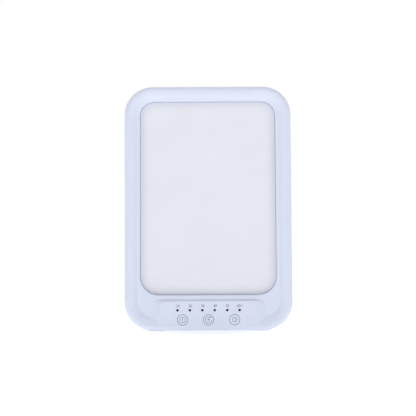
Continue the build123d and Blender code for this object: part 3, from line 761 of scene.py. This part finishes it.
# Leads
# Tinned copper wire in soft insulation, one red and one black of each pair, from the inlet to
# the board and from the board through the tray to the light strips.

inlet_lead_split = 18.0 * mm
strip_lead_split = 17.4 * mm
split_edge = 0.05 * mm


def lead_insulation(name, split):
    """Soft insulation, red above a height and black below it."""
    material, tree, shader, place = new_finish(name, 0.35)
    texture = use_group(tree, grain_group, Place=place, Grain=5000.0, Clouds=300.0)
    upper = fade(tree, along(tree, place)[2], split - split_edge, split + split_edge)
    tone = blended(tree, upper, colour(32, 32, 34), colour(178, 34, 32))
    tone = blended(tree, calc(tree, "MULTIPLY", texture["Tone"], 0.2), tone, colour(120, 60, 58))
    feed(tree, shader.inputs["Base Color"], tone)
    relief(tree, shader, texture["Height"], strength=0.2, depth=0.01 * mm)
    return material


put_on(["jack_leads"], lead_insulation("lead_insulation", inlet_lead_split))
put_on(["strip_leads"], lead_insulation("lead_insulation_strip", strip_lead_split))


# Rear half of the case
# The second moulding, in the same white ABS. It closes the lamp with a tongue in the front
# half's rim and holds the stand in a pocket, the inlet, the feet and the cooling slots.

case_back = satin_plastic("case_back", case_light, case_dark,
                          roughness=0.44, grain=2200.0, depth=0.03 * mm, seam=True)
put_on(["back_cover"], case_back)


# Power inlet
# Round threaded inlet for a hollow plug, black thermoplastic with a plated centre contact,
# pulled against its seat by a nickel-plated nut inside the case.

inlet_black = satin_plastic("inlet_black", colour(44, 44, 47), colour(34, 34, 37),
                            roughness=0.34, grain=4200.0, depth=0.01 * mm)
put_on(["dc_jack"], inlet_black)
contact = bare_metal("inlet_contact", colour(226, 210, 170), colour(206, 188, 146),
                     roughness=0.22, lines=3800.0, run=grain_inward)
put_on(["dc_jack_pin"], contact)
nickel = bare_metal("nickel_nut", colour(214, 212, 206), colour(192, 190, 186),
                    roughness=0.18, lines=3000.0, run=grain_inward)
put_on(["dc_jack_nut"], nickel)


# Stand and its hinge
# A ribbed white ABS leg that swings on a ground steel pin. Nylon washers give it friction,
# and two blackened spring clips hold the pin. A grey rubber pad is pressed into its end.

pin_steel = bare_metal("steel_pin", colour(202, 203, 206), colour(180, 182, 186),
                       roughness=0.24, lines=3200.0, run=grain_across)
put_on(["hinge_pin"], pin_steel)
spring = bare_metal("spring_steel", colour(64, 66, 72), colour(40, 42, 48),
                    roughness=0.34, lines=3200.0, run=grain_even)
put_on(["hinge_clip_left", "hinge_clip_right"], spring)
washer = satin_plastic("washer_nylon", colour(232, 230, 220), colour(222, 220, 208),
                       roughness=0.4, grain=4200.0, depth=0.01 * mm)
put_on(["hinge_washer_left", "hinge_washer_right"], washer)
leg_finish = satin_plastic("case_stand", case_light, case_dark,
                           roughness=0.46, grain=2000.0, depth=0.03 * mm)
put_on(["stand_leg"], leg_finish)


# Rubber pads
# Soft grey rubber with a fine moulded texture: the pad of the stand and two feet let into the
# lower rear edge of the case.

def grey_rubber():
    """Soft rubber with a fine moulded texture and a little dust."""
    material, tree, shader, place = new_finish("grey_rubber", 0.82)
    texture = use_group(tree, grain_group, Place=place, Grain=2400.0, Clouds=120.0)
    dust = fade(tree, texture["Tone"], 0.35, 0.75)
    tone = blended(tree, dust, colour(188, 191, 199), colour(200, 203, 210))
    feed(tree, shader.inputs["Base Color"], tone)
    relief(tree, shader, texture["Height"], strength=0.6, depth=0.08 * mm)
    return material


put_on(["rubber_foot_left", "rubber_foot_right", "stand_foot_pad"], grey_rubber())


# Case screws
# Four black pan-head screws, driven from the back into the posts of the front frame. Their
# black oxide is thin in places, where the grey steel shows.

def black_oxide():
    """Black oxide on steel, thin enough in places to show the metal."""
    material, tree, shader, place = new_finish("black_screw", 0.36)
    wear = noise(tree, place, 1800.0, detail=4.0, roughness=0.7)
    worn = fade(tree, wear, 0.62, 0.72)
    tone = blended(tree, worn, colour(40, 40, 43), colour(108, 108, 112))
    feed(tree, shader.inputs["Base Color"], tone)
    feed(tree, shader.inputs["Roughness"], fade(tree, wear, *tone_limits, low=0.3, high=0.42))
    shader.inputs["Metallic"].default_value = 0.85
    relief(tree, shader, wear, strength=0.3, depth=0.03 * mm)
    return material


put_on(["case_screws"], black_oxide())


# Table
# A plain white table that keeps the lamp's shadow. Away from the lamp it is plain white to
# the eye, and so is the room, also where gloss or clear acrylic shows them.

def seen_directly(tree):
    """1 where the eye, gloss or clear plastic looks at the surface, 0 where it only gives light."""
    path = tree.nodes.new("ShaderNodeLightPath")
    seen = calc(tree, "MAXIMUM", path.outputs["Is Camera Ray"], path.outputs["Is Glossy Ray"])
    return calc(tree, "MAXIMUM", seen, path.outputs["Is Transmission Ray"])


table_size = 40
table_gap = 0.02 * mm
table_lift = 0.56
# Painted light: beyond the lamp's foot the table glows for light rays, standing in for light thrown
# back onto the lamp.
table_glow_light = 0.8
even_reach = (0.25, 0.8)
table_glow_reach = (0.0, 0.15)
room_light = 0.36


def table_finish():
    """Matte white near the lamp, lifted for the eye, then even white; beyond the lamp it glows for
    light rays, painted light thrown back onto the lamp.
    """
    material, tree, shader, place = new_finish("table_white", 0.8)
    source = tree.nodes.new("ShaderNodeTexCoord")
    far = tree.nodes.new("ShaderNodeVectorMath")
    far.operation = "LENGTH"
    feed(tree, far.inputs[0], source.outputs["Object"])
    even = fade(tree, far.outputs["Value"], *even_reach)
    grain = noise(tree, place, 400.0, detail=2.0)
    tone = blended(tree, grain, colour(233, 234, 236), colour(236, 237, 239))
    feed(tree, shader.inputs["Base Color"], tone)
    glow = tree.nodes.new("ShaderNodeEmission")
    feed(tree, glow.inputs["Strength"], seen_directly(tree))
    lift = tree.nodes.new("ShaderNodeEmission")
    seen = calc(tree, "MULTIPLY", seen_directly(tree), table_lift)
    unseen = calc(tree, "SUBTRACT", 1.0, seen_directly(tree))
    glow_light = calc(tree, "MULTIPLY", fade(tree, far.outputs["Value"], *table_glow_reach), table_glow_light)
    given = calc(tree, "MULTIPLY", unseen, glow_light)
    feed(tree, lift.inputs["Strength"], calc(tree, "ADD", seen, given))
    lifted = tree.nodes.new("ShaderNodeAddShader")
    feed(tree, lifted.inputs[0], shader.outputs[0])
    feed(tree, lifted.inputs[1], lift.outputs[0])
    mixed = tree.nodes.new("ShaderNodeMixShader")
    feed(tree, mixed.inputs[0], calc(tree, "MULTIPLY", even, seen_directly(tree)))
    feed(tree, mixed.inputs[1], lifted.outputs[0])
    feed(tree, mixed.inputs[2], glow.outputs[0])
    feed(tree, tree.nodes["Material Output"].inputs["Surface"], mixed.outputs[0])
    return material


start_piece()
bpy.ops.mesh.primitive_plane_add(size=table_size, location=(0, 0, -table_gap))
table = bpy.context.object
table.name = "table"
bpy.ops.object.transform_apply(location=True)
table.data.materials.append(table_finish())

room = bpy.data.worlds.new("room")
bpy.context.scene.world = room
room.use_nodes = True
backdrop = room.node_tree.nodes["Background"]
backdrop.inputs["Color"].default_value = (1, 1, 1, 1)
shown = calc(room.node_tree, "MULTIPLY", seen_directly(room.node_tree), 1 - room_light)
feed(room.node_tree, backdrop.inputs["Strength"], calc(room.node_tree, "ADD", room_light, shown))


# Studio lamps
# Large soft boxes in front, level, low and high, one overhead and a weak one at each side.

face_middle_height = 119.7 * mm
face_middle = to_room @ Vector((0, 0, face_middle_height))
soft_boxes = {
    "front": ((0, -1.5, 0.65), (1.2, 0.8), 2.3),
    "front_low": ((0, -1.5, 0.15), (1.2, 0.25), 1.4),
    "front_high": ((0, -0.7, 1.4), (1.2, 0.6), 3.8),
    "overhead": ((0, 0.62, 1.5), (1.4, 0.1), 4.0),
    "left": ((-1.3, 0.3, 0.25), (0.3, 0.8), 0.5),
    "right": ((1.3, 0.3, 0.25), (0.3, 0.8), 0.5),
}
for name, (place, size, power) in soft_boxes.items():
    start_piece()
    aim = (face_middle - Vector(place)).to_track_quat("-Z", "Y")
    bpy.ops.object.light_add(type="AREA", location=place, rotation=aim.to_euler())
    lamp = bpy.context.object
    lamp.name = "soft_box_" + name
    lamp.data.shape = "RECTANGLE"
    lamp.data.size, lamp.data.size_y = size
    lamp.data.energy = power


# Camera
# A long lens a metre away, level with the face to within a few degrees.

camera_rise = radians(15.6)
camera_distance = 1.03
camera_lens = 90.6
camera_roll = radians(-0.32)
sensor_width = 36
start_piece()
viewpoint = face_middle + camera_distance * Vector((0, -cos(camera_rise), sin(camera_rise)))
look = (face_middle - viewpoint).to_track_quat("-Z", "Y") @ Quaternion((0, 0, 1), camera_roll)
bpy.ops.object.camera_add(location=viewpoint, rotation=look.to_euler())
camera = bpy.context.object
camera.data.lens = camera_lens
camera.data.sensor_width = sensor_width
bpy.context.scene.camera = camera
bpy.context.scene.view_settings.view_transform = "Standard"
